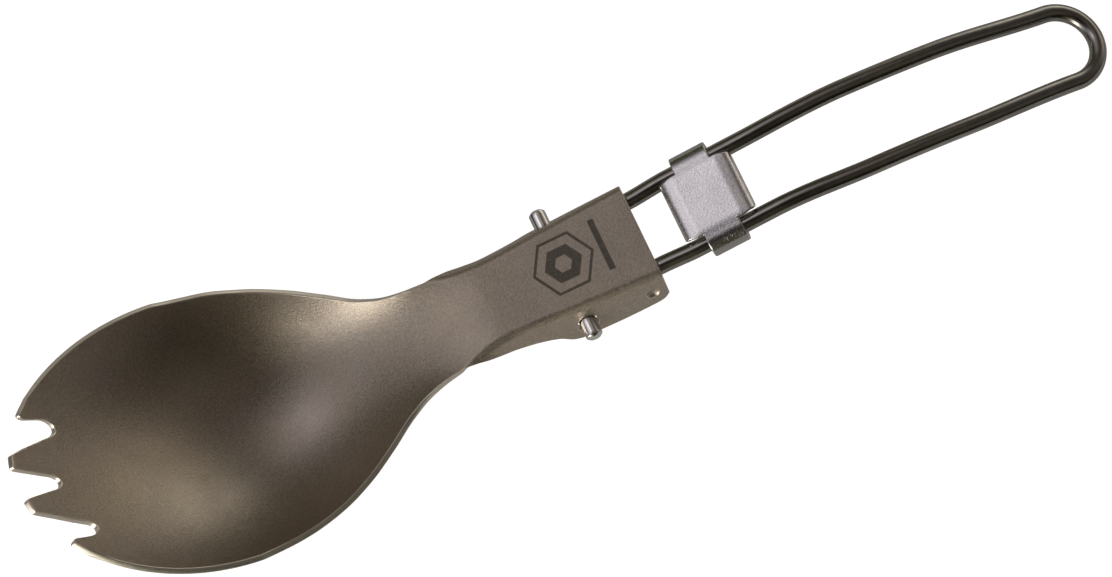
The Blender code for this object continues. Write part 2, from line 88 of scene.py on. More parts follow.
# Wire handle
WIRE_RADIUS = 1.25
LEG_ANGLE = 7.4  # of the straight run over the channel's top face, degrees
LEG_Y_IN_CHANNEL = 5.3
LEG_Y = 5.6  # under the slider
LEG_Y_WIDE = 6.15
CORNER_RADIUS = 1.9  # from pin to leg
STRAIGHT_END = 31.0  # along the leg from the pin's axis
KNEE_END, KNEE_ANGLE = 39.0, -3.0
ARC_RATE = 0.53  # degrees of droop for each millimetre after the knee
LAST_ANGLE = -20.0
LOOP_RADIUS = 5.55
LOOP_CENTRE_X = 65.1

# Lock slider
SLIDER_SHEET = 0.7
SLIDER_AT = 23.05  # its middle, along the leg from the pin's axis
SLIDER_GAP = 0.3  # to the wire
PLATE_HALF_WIDTH = 4.85
PLATE_HALF_LENGTH = 4.3
TAB_HALF_LENGTH = 2.75
TAB_WRAP = 205.0  # degrees round the wire
LIP_RADIUS = 0.9
LIP_HALF_WIDTH = 3.85  # at its lower edge
CORNER_START = 3.31
LIP_TOP_U, LIP_TOP_HALF_WIDTH = 5.24, 4.55  # where the lip starts to run in
LIP_DROP = 0.7  # straight part below the lip's bend


# ---------------------------------------------------------------- helpers


def smooth_table(table, column):
    """A function of x that runs smoothly through a column of the table, with no overshoot (monotone cubic)."""
    xs = [row[0] for row in table]
    ys = [row[column] for row in table]
    steps = [(ys[i + 1] - ys[i]) / (xs[i + 1] - xs[i]) for i in range(len(xs) - 1)]
    slopes = [steps[0]]
    for i in range(1, len(steps)):
        before, after = steps[i - 1], steps[i]
        slopes.append(0.0 if before * after <= 0 else 2 * before * after / (before + after))
    slopes.append(steps[-1])

    def value(x):
        if x <= xs[0]:
            return ys[0]
        if x >= xs[-1]:
            return ys[-1]
        i = max(k for k in range(len(xs) - 1) if xs[k] <= x)
        width = xs[i + 1] - xs[i]
        t = (x - xs[i]) / width
        return (
            ys[i] * (1 + 2 * t) * (1 - t) ** 2
            + slopes[i] * width * t * (1 - t) ** 2
            + ys[i + 1] * t * t * (3 - 2 * t)
            + slopes[i + 1] * width * t * t * (t - 1)
        )

    return value


def smooth_step(t):
    t = min(1.0, max(0.0, t))
    return t * t * (3 - 2 * t)


def to_frame(x, y, z):
    return Vector(((x + DATUM_X) * MM, y * MM, (z + DATUM_Z) * MM))


# ---------------------------------------------------------------- head

half_width = smooth_table(SIDE, 1)
rim_rise = smooth_table(SIDE, 2)
flange_depth = smooth_table(FLANGE, 1)
flange_flare = smooth_table(FLANGE, 2)


def centre_height(x):
    if x <= BOTTOM_X:
        return BOTTOM_Z + FRONT_RISE * (x - BOTTOM_X) ** 2
    if x >= CHANNEL_FRONT_X:
        return 0.0
    return BOTTOM_Z * (0.5 + 0.5 * math.cos(math.pi * (x - BOTTOM_X) / (CHANNEL_FRONT_X - BOTTOM_X)))


def dish_height(x, y):
    """The inner face of the bowl and the top face of the neck, as a height over x and y."""
    t = abs(y) / half_width(x)
    return centre_height(x) + rim_rise(x) * (SECTION_MIX * t * t + (1 - SECTION_MIX) * t**4)


def dish_normal(x, y):
    step = 0.02
    along = (dish_height(x + step, y) - dish_height(x - step, y)) / (2 * step)
    across = (dish_height(x, y + step) - dish_height(x, y - step)) / (2 * step)
    return Vector((-along, -across, 1.0)).normalized()


def channel_section(x):
    """Length of the flat half, of the fold's arc and of the flange, and the fold's angle, at a station."""

    def straight_part(x, turn):
        return max(0.0, flange_depth(x) - BEND_RADIUS * (1 - math.cos(turn))) / max(math.sin(turn), 0.05)

    turn = math.radians(90 - flange_flare(x))
    flat = half_width(x) - BEND_RADIUS * math.tan(turn / 2)
    if x >= FLANGE_FULL_X:
        return flat, BEND_RADIUS * turn, straight_part(x, turn), turn
    # in front of this, the flange's length grows smoothly from nothing, so that the rim has no step
    grown = max(0.0, (x - FLANGE_START_X) / (FLANGE_FULL_X - FLANGE_START_X)) ** 1.6
    full = straight_part(FLANGE_FULL_X, math.radians(90 - flange_flare(FLANGE_FULL_X)))
    return flat, BEND_RADIUS * turn, full * grown, turn


def section_point(x, share):
    """A point of the channel's section by its share, 0 to 1, of the half's columns."""
    flat, arc, flange, turn = channel_section(x)
    total = flat + arc + flange
    # columns: the first half on the flat, a quarter on the fold and a quarter on the flange
    if share <= 0.5:
        folded = flat * share / 0.5
    elif share <= 0.75:
        folded = flat + arc * (share - 0.5) / 0.25
    else:
        folded = flat + arc + flange * (share - 0.75) / 0.25
    even = smooth_step((x - (CHANNEL_FRONT_X - 1)) / (FLANGE_START_X - 4 - CHANNEL_FRONT_X))
    s = folded * (1 - even) + total * share * even
    if s <= flat:
        return s, dish_height(x, s)
    edge = dish_height(x, flat)
    angle = min(turn, (s - flat) / BEND_RADIUS)
    y = flat + BEND_RADIUS * math.sin(angle)
    z = edge - BEND_RADIUS * (1 - math.cos(angle))
    rest = max(0.0, s - flat - arc)
    return y + rest * math.cos(turn), z - rest * math.sin(turn)


def head_point(station, share):
    """A point of the head's upper face. Stations 0 to 1 run over the nose, and 1 to 2 from there to the rear edge."""
    side = abs(share)
    sign = -1 if share < 0 else 1
    if station < 1:
        angle = NOSE_CORNER + (math.pi / 2 - NOSE_CORNER) * station
        rim_x = WIDEST_X - NOSE_LENGTH * math.cos(angle)
        rim_y = BOWL_HALF_WIDTH * math.sin(angle)
        centre_x = WIDEST_X - NOSE_LENGTH * (1 - station)
        bow = (math.cos(NOSE_CORNER * side) - math.cos(NOSE_CORNER)) / (1 - math.cos(NOSE_CORNER))
        x = rim_x + (centre_x - rim_x) * bow
        along_nose = math.sin(NOSE_CORNER * side) / math.sin(NOSE_CORNER)
        y = rim_y * (along_nose * (1 - station) + side * station)
        return x, sign * y, dish_height(x, y)
    x = WIDEST_X * (2 - station)
    if x <= FLANGE_START_X:
        y = half_width(x) * side
        return x, sign * y, dish_height(x, y)
    y, z = section_point(x, side)
    return x, sign * y, z


def slot_cutter(name, root, radius, inner, outer, collection):
    """A slot with a round root and straight edges. Where an edge meets the nose, it turns outward and rounds the tine's tip."""

    def nose_x(y):
        return WIDEST_X - NOSE_LENGTH * math.sqrt(max(0.0, 1 - (y / BOWL_HALF_WIDTH) ** 2))

    def edge(tip_y, side):
        """From the tangent point on the root to beyond the nose, on one side of the slot."""
        dx, dy = TIP_X - root[0], tip_y - root[1]
        distance = math.hypot(dx, dy)
        lean = math.asin(radius / distance)
        heading = math.atan2(dy, dx)
        # the tangent from the edge's end to the root's circle
        tangent = heading + math.pi + lean * (1 if side > 0 else -1)
        touch = (
            TIP_X + math.cos(tangent) * math.sqrt(distance**2 - radius**2),
            tip_y + math.sin(tangent) * math.sqrt(distance**2 - radius**2),
        )
        ux, uy = TIP_X - touch[0], tip_y - touch[1]
        length = math.hypot(ux, uy)
        ux, uy = ux / length, uy / length
        # where this line crosses the nose
        at = 0.0
        for _ in range(60):
            at += (touch[0] + ux * at) - nose_x(touch[1] + uy * at) if at < 30 else 0
        cross = Vector((touch[0] + ux * at, touch[1] + uy * at))
        # the nose's own direction there, pointing away from the slot
        y = cross.y
        slope = NOSE_LENGTH * (y / BOWL_HALF_WIDTH**2) / math.sqrt(1 - (y / BOWL_HALF_WIDTH) ** 2)
        away = Vector((slope, 1.0)).normalized() * (1 if side > 0 else -1)
        u = Vector((ux, uy))
        corner = math.acos(max(-1, min(1, u.dot(-away))))  # angle of the tine's own corner
        reach = TIP_ROUND / math.tan(corner / 2)
        start = cross - u * reach
        end = cross + away * reach
        bisector = (-u + away).normalized()
        centre = cross + bisector * (TIP_ROUND / math.sin(corner / 2))
        a0 = math.atan2(start.y - centre.y, start.x - centre.x)
        a1 = math.atan2(end.y - centre.y, end.x - centre.x)
        turn = (a1 - a0 + math.pi) % (2 * math.pi) - math.pi
        arc = [
            centre + TIP_ROUND * Vector((math.cos(a0 + turn * k / 16), math.sin(a0 + turn * k / 16)))
            for k in range(17)
        ]
        beyond = end + away * 0.25 + Vector((-0.25, 0))
        far = Vector((TIP_X - 3, beyond.y))
        return touch, arc + [beyond, far]

    touch_a, edge_a = edge(outer, 1)
    touch_b, edge_b = edge(inner, -1)
    a0 = math.atan2(touch_a[1] - root[1], touch_a[0] - root[0])
    a1 = math.atan2(touch_b[1] - root[1], touch_b[0] - root[0])
    while a1 > a0:
        a1 -= 2 * math.pi
    if a0 - a1 > 1.5 * math.pi:
        a1 += 2 * math.pi
    root_arc = [
        Vector((root[0] + radius * math.cos(a0 + (a1 - a0) * k / 40), root[1] + radius * math.sin(a0 + (a1 - a0) * k / 40)))
        for k in range(41)
    ]
    outline = list(reversed(edge_a)) + root_arc + edge_b
    # the blank is cut flat and then formed, so the walls of the slot stay square to the sheet
    bm = bmesh.new()
    above, below = [], []
    for p in outline:
        on_sheet = Vector((p[0], p[1], dish_height(p[0], p[1])))
        normal = dish_normal(p[0], p[1])
        above.append(bm.verts.new(to_frame(*(on_sheet + normal * SLOT_REACH))))
        below.append(bm.verts.new(to_frame(*(on_sheet - normal * (SLOT_REACH + SHEET)))))
    bm.faces.new(above)
    bm.faces.new(list(reversed(below)))
    for i in range(len(outline)):
        j = (i + 1) % len(outline)
        bm.faces.new((above[j], above[i], below[i], below[j]))
    bmesh.ops.triangulate(bm, faces=[face for face in bm.faces if len(face.verts) > 4])
    bmesh.ops.recalc_face_normals(bm, faces=bm.faces)
    return new_object(name, mesh_from(bm, name), collection)


# ---------------------------------------------------------------- wire handle


def leg_angle(s):
    """Slope of the leg, in degrees, at a distance along it from the pin's axis."""
    if s <= STRAIGHT_END:
        return LEG_ANGLE
    if s <= KNEE_END:
        return LEG_ANGLE + (KNEE_ANGLE - LEG_ANGLE) * (s - STRAIGHT_END) / (KNEE_END - STRAIGHT_END)
    return max(LAST_ANGLE, KNEE_ANGLE - ARC_RATE * (s - KNEE_END))


def leg_line(s_end, step=0.25):
    """(s, x, z) along the leg's middle from the pin's axis."""
    x, z, s = PIN_X, PIN_Z, 0.0
    line = [(s, x, z)]
    while s < s_end - 1e-9:
        angle = math.radians(leg_angle(s + step / 2))
        x += step * math.cos(angle)
        z += step * math.sin(angle)
        s += step
        line.append((s, x, z))
    return line


LEG = leg_line(90.0)


def on_leg(s):
    i = min(len(LEG) - 2, int(s / 0.25))
    t = (s - LEG[i][0]) / 0.25
    return LEG[i][1] + (LEG[i + 1][1] - LEG[i][1]) * t, LEG[i][2] + (LEG[i + 1][2] - LEG[i][2]) * t


def leg_side(x):
    """Distance of the leg's middle from the centre plane."""
    y = LEG_Y_IN_CHANNEL + (LEG_Y - LEG_Y_IN_CHANNEL) * smooth_step(x / 6.5)
    y += (LEG_Y_WIDE - LEG_Y) * smooth_step((x - 18) / 16)
    return y + (LOOP_RADIUS - LEG_Y_WIDE) * smooth_step((x - 48) / (LOOP_CENTRE_X - 48))


# ---------------------------------------------------------------- lock slider


def slider_point(u, v):
    """The middle surface of the slider's sheet, from its flat pattern: u along the legs, v across them.
    Returns (along the leg, across, above the wire's middle)."""
    level = WIRE_RADIUS + SLIDER_GAP + SLIDER_SHEET / 2
    if abs(v) > LEG_Y:
        angle = (abs(v) - LEG_Y) / level
        return u, math.copysign(LEG_Y + level * math.sin(angle), v), level * math.cos(angle)
    if abs(u) > PLATE_HALF_LENGTH:
        angle = min(math.pi / 2, (abs(u) - PLATE_HALF_LENGTH) / LIP_RADIUS)
        rest = max(0.0, abs(u) - PLATE_HALF_LENGTH - LIP_RADIUS * math.pi / 2)
        along = PLATE_HALF_LENGTH + LIP_RADIUS * math.sin(angle)
        return math.copysign(along, u), v, level - LIP_RADIUS * (1 - math.cos(angle)) - rest
    return u, v, level


def half_width_at(u):
    """The plate's half width along it: its corners are eased, and the lip then runs in to pass between the legs."""
    if u <= LIP_TOP_U:
        return PLATE_HALF_WIDTH + (LIP_TOP_HALF_WIDTH - PLATE_HALF_WIDTH) * smooth_step((u - CORNER_START) / (LIP_TOP_U - CORNER_START))
    lip_end = PLATE_HALF_LENGTH + LIP_RADIUS * math.pi / 2 + LIP_DROP
    return LIP_TOP_HALF_WIDTH + (LIP_HALF_WIDTH - LIP_TOP_HALF_WIDTH) * (u - LIP_TOP_U) / (lip_end - LIP_TOP_U)


# ---------------------------------------------------------------- mesh tools


def new_object(name, mesh, collection=None, material=None):
    obj = bpy.data.objects.new(name, mesh)
    bpy.context.scene.collection.objects.link(obj)
    return obj


def mesh_from(bm, name):
    mesh = bpy.data.meshes.new(name)
    bm.to_mesh(mesh)
    bm.free()
    return mesh


def baked(obj, name, keep=()):
    """A new object with the evaluated mesh of obj. obj and the cutters in keep are removed."""
    bpy.context.view_layer.update()
    graph = bpy.context.evaluated_depsgraph_get()
    mesh = bpy.data.meshes.new_from_object(obj.evaluated_get(graph))
    mesh.name = name
    matrix = obj.matrix_world.copy()
    for old in (obj, *keep):
        bpy.data.objects.remove(old, do_unlink=True)
    made = bpy.data.objects.new(name, mesh)
    made.matrix_world = matrix
    bpy.context.scene.collection.objects.link(made)
    return made


def cut(obj, cutter, operation="DIFFERENCE"):
    modifier = obj.modifiers.new(cutter.name, "BOOLEAN")
    modifier.operation = operation
    modifier.solver = "EXACT"
    modifier.object = cutter
    modifier.material_mode = "INDEX"
    cutter.hide_render = True


def spread(ends, counts):
    """Even steps between each pair of ends."""
    out = []
    for (a, b), n in zip(zip(ends, ends[1:]), counts):
        out += [a + (b - a) * k / n for k in range(n)]
    return out + [ends[-1]]


def finish_edges(obj, width, segments, angle, material=None):
    bevel = obj.modifiers.new("Edges", "BEVEL")
    bevel.width = width * MM
    bevel.segments = segments
    bevel.limit_method = "ANGLE"
    bevel.angle_limit = math.radians(angle)
    bevel.use_clamp_overlap = False
    bevel.miter_outer = "MITER_SHARP"
    if material is not None:
        bevel.material = material
    return bevel


# ---------------------------------------------------------------- head, fine mesh


def fine_stations():
    nose = [i / 60 for i in range(60)]
    body = spread(
        [WIDEST_X, -44.6, -31.0, -22.0, -16.5, -12.5, -4.0, 0.0],
        [52, 34, 26, 16, 14, 20, 12],
    )
    return nose + [2 - x / WIDEST_X for x in body]


def fine_shares():
    half = spread([0.0, 0.5, 0.75, 0.97, 1.0], [24, 14, 10, 2])
    return [-s for s in reversed(half[1:])] + half


def prism_material(obj, index):
    """Two empty material slots, with every face on one of them, for Booleans that keep the slot's number."""
    obj.data.materials.append(None)
    obj.data.materials.append(None)
    for face in obj.data.polygons:
        face.material_index = index


def build_head(materials):
    stations, shares = fine_stations(), fine_shares()
    bm = bmesh.new()
    bmesh.ops.create_grid(bm, x_segments=len(stations) - 1, y_segments=len(shares) - 1, size=1.0)
    for vertex in bm.verts:
        i = round((vertex.co.x + 1) / 2 * (len(stations) - 1))
        j = round((vertex.co.y + 1) / 2 * (len(shares) - 1))
        vertex.co = to_frame(*head_point(stations[i], shares[j]))
    bmesh.ops.recalc_face_normals(bm, faces=bm.faces)
    if sum(face.normal.z for face in bm.faces) < 0:
        bmesh.ops.reverse_faces(bm, faces=bm.faces)
    rough = new_object("rough_head", mesh_from(bm, "rough_head"))
    for material in materials:
        rough.data.materials.append(material)
    sheet = rough.modifiers.new("Sheet", "SOLIDIFY")
    sheet.thickness = SHEET * MM
    sheet.offset = -1
    sheet.use_even_offset = False
    sheet.use_quality_normals = True
    sheet.material_offset_rim = 1

    tools = []
    side = SIDE_SLOT
    mirrored = dict(root=(side["root"][0], -side["root"][1]), radius=side["radius"], inner=-side["outer"], outer=-side["inner"])
    for name, slot in (("slot_middle", MIDDLE_SLOT), ("slot_left", side), ("slot_right", mirrored)):
        tool = slot_cutter(name, collection=None, **slot)
        prism_material(tool, 1)
        cut(rough, tool)
        tools.append(tool)

    bm = bmesh.new()
    bmesh.ops.create_cone(
        bm, cap_ends=True, segments=72, radius1=HOLE_RADIUS * MM, radius2=HOLE_RADIUS * MM, depth=26 * MM
    )
    hole = new_object("pin_hole", mesh_from(bm, "pin_hole"))
    hole.rotation_euler = (math.pi / 2, 0, 0)
    hole.location = to_frame(PIN_X, 0, PIN_Z)
    prism_material(hole, 1)
    cut(rough, hole)
    tools.append(hole)

    x, depth = DIMPLE["x"], DIMPLE["depth"]
    flare = math.radians(flange_flare(x))
    flat, arc, flange, turn = channel_section(x)
    face_y = flat + BEND_RADIUS * math.sin(turn)
    face_z = -BEND_RADIUS * (1 - math.cos(turn))
    y = face_y + (depth + face_z) * math.tan(flare)
    for sign, label in ((1, "left"), (-1, "right")):
        normal = Vector((0, sign * math.cos(flare), math.sin(flare)))
        on_face = to_frame(x, sign * y, -depth)
        for what, operation in (("bump", "UNION"), ("hollow", "DIFFERENCE")):
            bm = bmesh.new()
            if what == "bump":
                # a domed cap that ends inside the sheet
                bmesh.ops.create_uvsphere(bm, u_segments=40, v_segments=24, radius=1.0)
                for vertex in bm.verts:
                    vertex.co = Vector((vertex.co.x * 1.05 * MM, vertex.co.y * 1.05 * MM, vertex.co.z * (DIMPLE["sink"] + 0.15) * MM))
                centre = on_face - normal * (SHEET - 0.15) * MM
            else:
                bmesh.ops.create_uvsphere(bm, u_segments=48, v_segments=32, radius=DIMPLE["radius"] * MM)
                centre = on_face + normal * (DIMPLE["radius"] - DIMPLE["sink"]) * MM
            tool = new_object(f"dimple_{what}_{label}", mesh_from(bm, f"dimple_{what}_{label}"))
            tool.rotation_mode = "QUATERNION"
            tool.rotation_quaternion = normal.to_track_quat("Z", "Y")
            tool.location = centre
            prism_material(tool, 0)
            cut(rough, tool, operation)
            tools.append(tool)
    solid = baked(rough, "head_shell", keep=tools)

    bm = bmesh.new()
    bm.from_mesh(solid.data)
    bmesh.ops.remove_doubles(bm, verts=bm.verts, dist=0.035 * MM)
    bmesh.ops.dissolve_degenerate(bm, edges=bm.edges, dist=0.01 * MM)
    bm.to_mesh(solid.data)
    bm.free()
    finish_edges(solid, 0.14, 3, 48, material=1)
    head = baked(solid, "head_titanium_shell")
    head.data.shade_smooth()
    head.data.set_sharp_from_angle(angle=math.radians(48))
    weighted = head.modifiers.new("Normals", "WEIGHTED_NORMAL")
    weighted.keep_sharp = True
    weighted.weight = 60
    return head


# ---------------------------------------------------------------- wire, fine mesh


def fine_wire_path():
    """The middle line of one half, from the pin's tip to the end of the loop, as (point, radius scale)."""
    slope = math.radians(LEG_ANGLE)
    path = []
    # the tip: a flat end with a turned chamfer
    for back, scale in ((0.0, 0.0), (0.0, 0.5), (0.01, 0.60), (0.05, 0.655), (0.34, 0.945), (0.4, 0.98), (0.48, 1.0), (0.9, 1.0), (1.6, 1.0)):
        path.append(((PIN_X, PIN_TIP_Y - back, PIN_Z), scale))
    corner_y = LEG_Y_IN_CHANNEL + CORNER_RADIUS
    for k in range(25):
        a = math.radians(90 * k / 24)
        along = CORNER_RADIUS * (1 - math.cos(a))
        path.append(
            ((PIN_X + along * math.cos(slope), corner_y - CORNER_RADIUS * math.sin(a), PIN_Z + along * math.sin(slope)), 1.0)
        )
    s_loop = next(s for s, x, _ in LEG if x >= LOOP_CENTRE_X)
    s = 2.9
    while s < s_loop - 0.4:
        x, z = on_leg(s)
        path.append(((x, leg_side(x), z), 1.0))
        s += 0.75
    x0, z0 = on_leg(s_loop)
    path.append(((x0, leg_side(x0), z0), 1.0))
    slope = math.radians(leg_angle(s_loop))
    for k in range(1, 29):
        a = math.radians(90 * k / 28)
        along = LOOP_RADIUS * math.sin(a)
        path.append(((x0 + along * math.cos(slope), LOOP_RADIUS * math.cos(a), z0 + along * math.sin(slope)), 1.0))
    return path


def sweep(points, radius, sides=40):
    """A closed tube round a line of (point, radius scale). The first and last points are the middles of its ends."""
    bm = bmesh.new()
    places = [Vector(p) for p, _ in points]
    count = len(points)
    directions = []
    for i in range(count):
        a, b = places[max(0, i - 1)], places[min(count - 1, i + 1)]
        if (b - a).length < 1e-6:
            a, b = places[max(0, i - 2)], places[min(count - 1, i + 2)]
        directions.append((b - a).normalized())
    normal = Vector((0, 0, 1))
    rings = []
    for i in range(1, count - 1):
        direction = directions[i]
        normal = (normal - direction * normal.dot(direction)).normalized()
        other = direction.cross(normal)
        r = radius * points[i][1]
        rings.append(
            [
                bm.verts.new(
                    to_frame(*(places[i] + (normal * math.cos(2 * math.pi * k / sides) + other * math.sin(2 * math.pi * k / sides)) * r))
                )
                for k in range(sides)
            ]
        )
    for a, b in zip(rings, rings[1:]):
        for k in range(sides):
            bm.faces.new((a[k], a[(k + 1) % sides], b[(k + 1) % sides], b[k]))
    for ring, end in ((rings[0], places[0]), (rings[-1], places[-1])):
        middle = bm.verts.new(to_frame(*end))
        for k in range(sides):
            bm.faces.new((ring[k], ring[(k + 1) % sides], middle))
    bmesh.ops.recalc_face_normals(bm, faces=bm.faces)
    return bm


def build_wire(material):
    half = fine_wire_path()
    points = half + [((x, -y, z), scale) for (x, y, z), scale in reversed(half[:-1])]
    bm = sweep(points, WIRE_RADIUS)
    wire = new_object("handle_polished_wire", mesh_from(bm, "handle_polished_wire"))
    wire.data.materials.append(material)
    wire.data.shade_smooth()
    wire.data.set_sharp_from_angle(angle=math.radians(32))
    return wire


# ---------------------------------------------------------------- slider, fine mesh

CROWN = 0.16  # the plate stands this much over the bands round the wires


def build_slider(materials):
    arc = LIP_RADIUS * math.pi / 2
    lip_end = PLATE_HALF_LENGTH + arc + LIP_DROP
    us = spread([0.0, TAB_HALF_LENGTH, 3.3, PLATE_HALF_LENGTH, PLATE_HALF_LENGTH + arc, lip_end], [12, 3, 5, 12, 2])
    us = [-u for u in reversed(us[1:])] + us
    level = WIRE_RADIUS + SLIDER_GAP + SLIDER_SHEET / 2
    tab_end = LEG_Y + level * math.radians(TAB_WRAP)
    vs = spread([0.0, 3.7, PLATE_HALF_WIDTH, LEG_Y, tab_end], [14, 7, 4, 44])
    vs = [-v for v in reversed(vs[1:])] + vs
    bm = bmesh.new()
    bmesh.ops.create_grid(bm, x_segments=len(us) - 1, y_segments=len(vs) - 1, size=1.0)
    flat = {}
    for vertex in bm.verts:
        i = round((vertex.co.x + 1) / 2 * (len(us) - 1))
        j = round((vertex.co.y + 1) / 2 * (len(vs) - 1))
        flat[vertex] = (us[i], vs[j])
    outside = [
        face
        for face in bm.faces
        if max(abs(flat[v][0]) for v in face.verts) > TAB_HALF_LENGTH + 1e-6
        and max(abs(flat[v][1]) for v in face.verts) > PLATE_HALF_WIDTH + 1e-6
    ]
    bmesh.ops.delete(bm, geom=outside, context="FACES")
    slope = math.radians(LEG_ANGLE)
    mid_x, mid_z = on_leg(SLIDER_AT)
    for vertex in bm.verts:
        u, v = flat[vertex]
        v *= half_width_at(abs(u)) / PLATE_HALF_WIDTH if abs(u) > CORNER_START else 1
        a, y, b = slider_point(u, v)
        b += CROWN * smooth_step((LEG_Y + 0.3 - abs(v)) / 1.9) * smooth_step((PLATE_HALF_LENGTH + 0.4 - abs(u)) / 1.5)
        vertex.co = to_frame(mid_x + a * math.cos(slope) - b * math.sin(slope), y, mid_z + a * math.sin(slope) + b * math.cos(slope))
    bmesh.ops.recalc_face_normals(bm, faces=bm.faces)
    rough = new_object("rough_slider", mesh_from(bm, "rough_slider"))
    for material in materials:
        rough.data.materials.append(material)
    sheet = rough.modifiers.new("Sheet", "SOLIDIFY")
    sheet.thickness = SLIDER_SHEET * MM
    sheet.offset = 0
    sheet.use_even_offset = False
    sheet.use_quality_normals = True
    sheet.material_offset_rim = 1
    finish_edges(rough, 0.15, 3, 48, material=1)
    slider = baked(rough, "lock_slider_satin_steel")
    slider.data.shade_smooth()
    slider.data.set_sharp_from_angle(angle=math.radians(48))
    weighted = slider.modifiers.new("Normals", "WEIGHTED_NORMAL")
    weighted.keep_sharp = True
    weighted.weight = 60
    return slider


# ---------------------------------------------------------------- materials


class Nodes:
    """Short calls that add nodes to a material."""

    def __init__(self, name):
        self.material = bpy.data.materials.new(name)
        self.material.use_nodes = True
        self.tree = self.material.node_tree
        self.shader = self.tree.nodes["Principled BSDF"]
        self.coord = self.tree.nodes.new("ShaderNodeTexCoord").outputs["Object"]

    def put(self, value, socket):
        if hasattr(value, "is_output"):
            self.tree.links.new(value, socket)
        else:
            socket.default_value = value

    def math(self, operation, *values, clamp=False):
        node = self.tree.nodes.new("ShaderNodeMath")
        node.operation = operation
        node.use_clamp = clamp
        for value, socket in zip(values, node.inputs):
            self.put(value, socket)
        return node.outputs[0]

    def noise(self, scale, detail=2.0, roughness=0.5, stretch=None, seed=0.0):
        at = self.coord
        if stretch:
            mapping = self.tree.nodes.new("ShaderNodeMapping")
            self.tree.links.new(at, mapping.inputs["Vector"])
            mapping.inputs["Scale"].default_value = stretch
            mapping.inputs["Location"].default_value = (seed, seed, seed)
            at = mapping.outputs[0]
        node = self.tree.nodes.new("ShaderNodeTexNoise")
        self.tree.links.new(at, node.inputs["Vector"])
        node.inputs["Scale"].default_value = scale
        node.inputs["Detail"].default_value = detail
        node.inputs["Roughness"].default_value = roughness
        return node.outputs["Fac"]

    def cells(self, scale):
        node = self.tree.nodes.new("ShaderNodeTexVoronoi")
        self.tree.links.new(self.coord, node.inputs["Vector"])
        node.inputs["Scale"].default_value = scale
        return node.outputs["Distance"], node.outputs["Color"]

    def range(self, value, low, high, to_low, to_high):
        node = self.tree.nodes.new("ShaderNodeMapRange")
        self.put(value, node.inputs["Value"])
        for name, number in (("From Min", low), ("From Max", high), ("To Min", to_low), ("To Max", to_high)):
            node.inputs[name].default_value = number
        return node.outputs[0]

    def mix(self, factor, a, b, blend="MIX"):
        node = self.tree.nodes.new("ShaderNodeMix")
        node.data_type = "RGBA"
        node.blend_type = blend
        self.put(factor, node.inputs[0])
        for value, socket in ((a, node.inputs[6]), (b, node.inputs[7])):
            self.put((*value, 1) if isinstance(value, tuple) else value, socket)
        return node.outputs[2]

    def xyz(self):
        node = self.tree.nodes.new("ShaderNodeSeparateXYZ")
        self.tree.links.new(self.coord, node.inputs[0])
        return node.outputs

    def bump(self, height, strength, distance, below=None):
        node = self.tree.nodes.new("ShaderNodeBump")
        node.inputs["Strength"].default_value = strength
        node.inputs["Distance"].default_value = distance
        self.put(height, node.inputs["Height"])
        if below is not None:
            self.tree.links.new(below, node.inputs["Normal"])
        return node.outputs[0]

    def inside(self, value, edge, soft):
        """1 where value is under edge, 0 where it is over, with a soft step between."""
        return self.range(value, edge - soft, edge + soft, 1.0, 0.0)


def etched_mark(n):
    """A plain etched mark on the channel's top face: a hexagonal outline round a nut shape, and a plain bar."""
    x, y, z = n.xyz()
    x = n.math("SUBTRACT", n.math("MULTIPLY", x, 1000.0), DATUM_X)
    y = n.math("MULTIPLY", y, 1000.0)
    dx = n.math("ABSOLUTE", n.math("SUBTRACT", x, -11.8))
    dy = n.math("ABSOLUTE", n.math("SUBTRACT", y, 0.45))
    soft = 0.06
    slant = n.math("ADD", n.math("MULTIPLY", dx, 0.866), n.math("MULTIPLY", dy, 0.5))
    reach = n.math("MAXIMUM", slant, dy)

    outline = n.inside(n.math("ABSOLUTE", n.math("SUBTRACT", reach, 3.9)), 0.2, soft)
    nut = n.math("MULTIPLY", n.inside(reach, 2.5, soft), n.math("SUBTRACT", 1.0, n.inside(reach, 1.15, soft)))
    bx = n.math("ABSOLUTE", n.math("SUBTRACT", x, -5.85))
    by = n.math("ABSOLUTE", n.math("SUBTRACT", y, 0.6))
    bar = n.math("MULTIPLY", n.inside(bx, 0.45, soft), n.inside(by, 4.0, soft))
    mark = n.math("MAXIMUM", n.math("MAXIMUM", outline, nut), bar)
    top = n.range(z, (DATUM_Z - 0.35) * MM, (DATUM_Z - 0.25) * MM, 0.0, 1.0)
    return n.math("MULTIPLY", mark, top)


